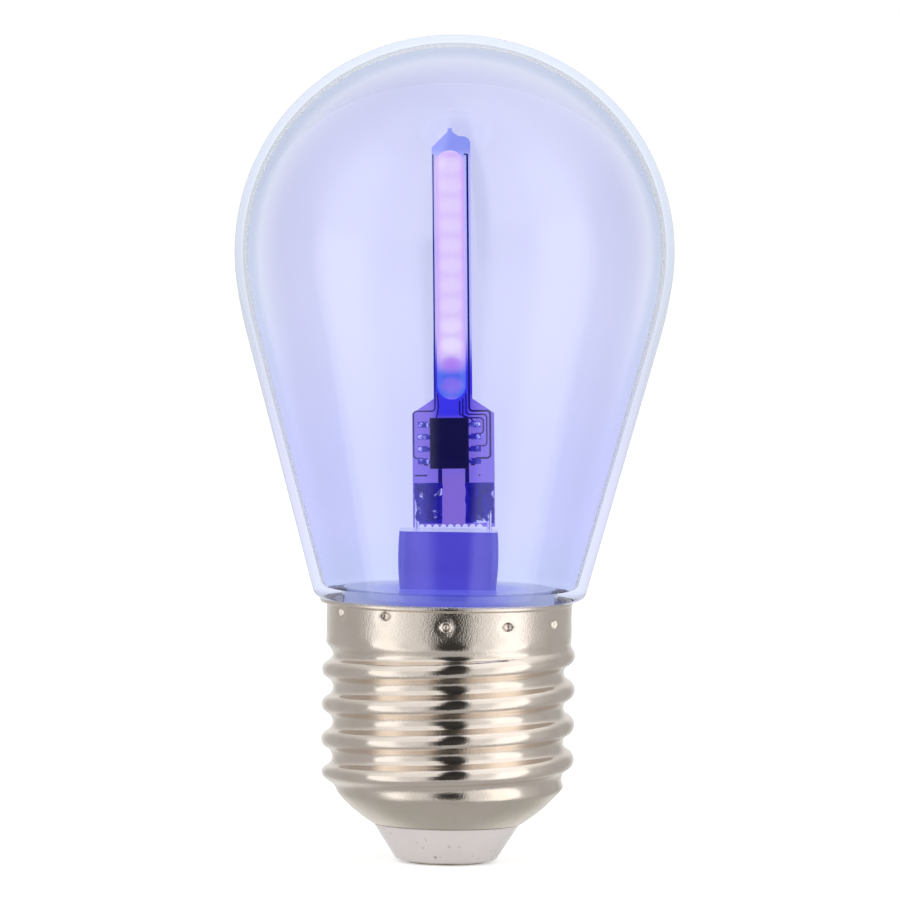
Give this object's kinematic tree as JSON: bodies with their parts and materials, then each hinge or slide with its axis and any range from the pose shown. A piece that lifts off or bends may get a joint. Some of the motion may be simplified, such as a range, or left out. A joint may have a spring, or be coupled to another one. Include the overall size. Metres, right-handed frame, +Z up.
{
  "type": "led globe bulb",
  "caption": "Clear pear-shaped globe bulb with a strip of chips on a narrow board, a nickel screw cap and a centre contact.",
  "frame": {"origin": "middle of the centre contact's lower face, on the bulb's axis", "axes": "+Z up along the bulb's axis from the cap to the globe, the board's face with the chips looks to -Y, +X to the right seen from there"},
  "size_m": [0.0456, 0.0456, 0.086],
  "materials": {
    "clear_globe": "clear moulded plastic, smooth gloss",
    "nickel_cap": "satin nickel plate",
    "insulator_plastic": "semi gloss, light warm grey",
    "contact_metal": "satin",
    "plug_plastic": "satin white moulding, lit blue by the chips",
    "block_resin": "semi gloss, lit blue by the chips",
    "board_mask": "satin solder mask, lit violet by the chips",
    "led_chips": "glowing chips",
    "bead_silicone": "glowing silicone, pale violet",
    "chip_epoxy": "satin black epoxy in blue light",
    "tinned_metal": "bright tin plate",
    "solder": "smooth bright solder",
    "copper_lines": "copper under the mask",
    "tinned_pads": "tinned copper",
    "wire_metal": "tinned wire",
    "resistor_coat": "satin lacquer"
  },
  "bodies": {
    "root": {"globe": "clear_globe", "screw_shell": "nickel_cap", "base_insulator": "insulator_plastic", "center_contact": "contact_metal", "neck_plug": "plug_plastic", "stem_block": "block_resin", "circuit_board": "board_mask", "led_dies": "led_chips", "led_bead": "bead_silicone", "driver_ic": "chip_epoxy", "ic_leads": "tinned_metal", "ic_solder_joints": "solder", "copper_tracks": "copper_lines", "solder_pads": "tinned_pads", "solder_left": "solder", "solder_right": "solder", "lead_wire_left": "wire_metal", "lead_wire_right": "wire_metal", "fuse_resistor": "resistor_coat", "contact_lead": "wire_metal"}
  },
  "joints": []
}
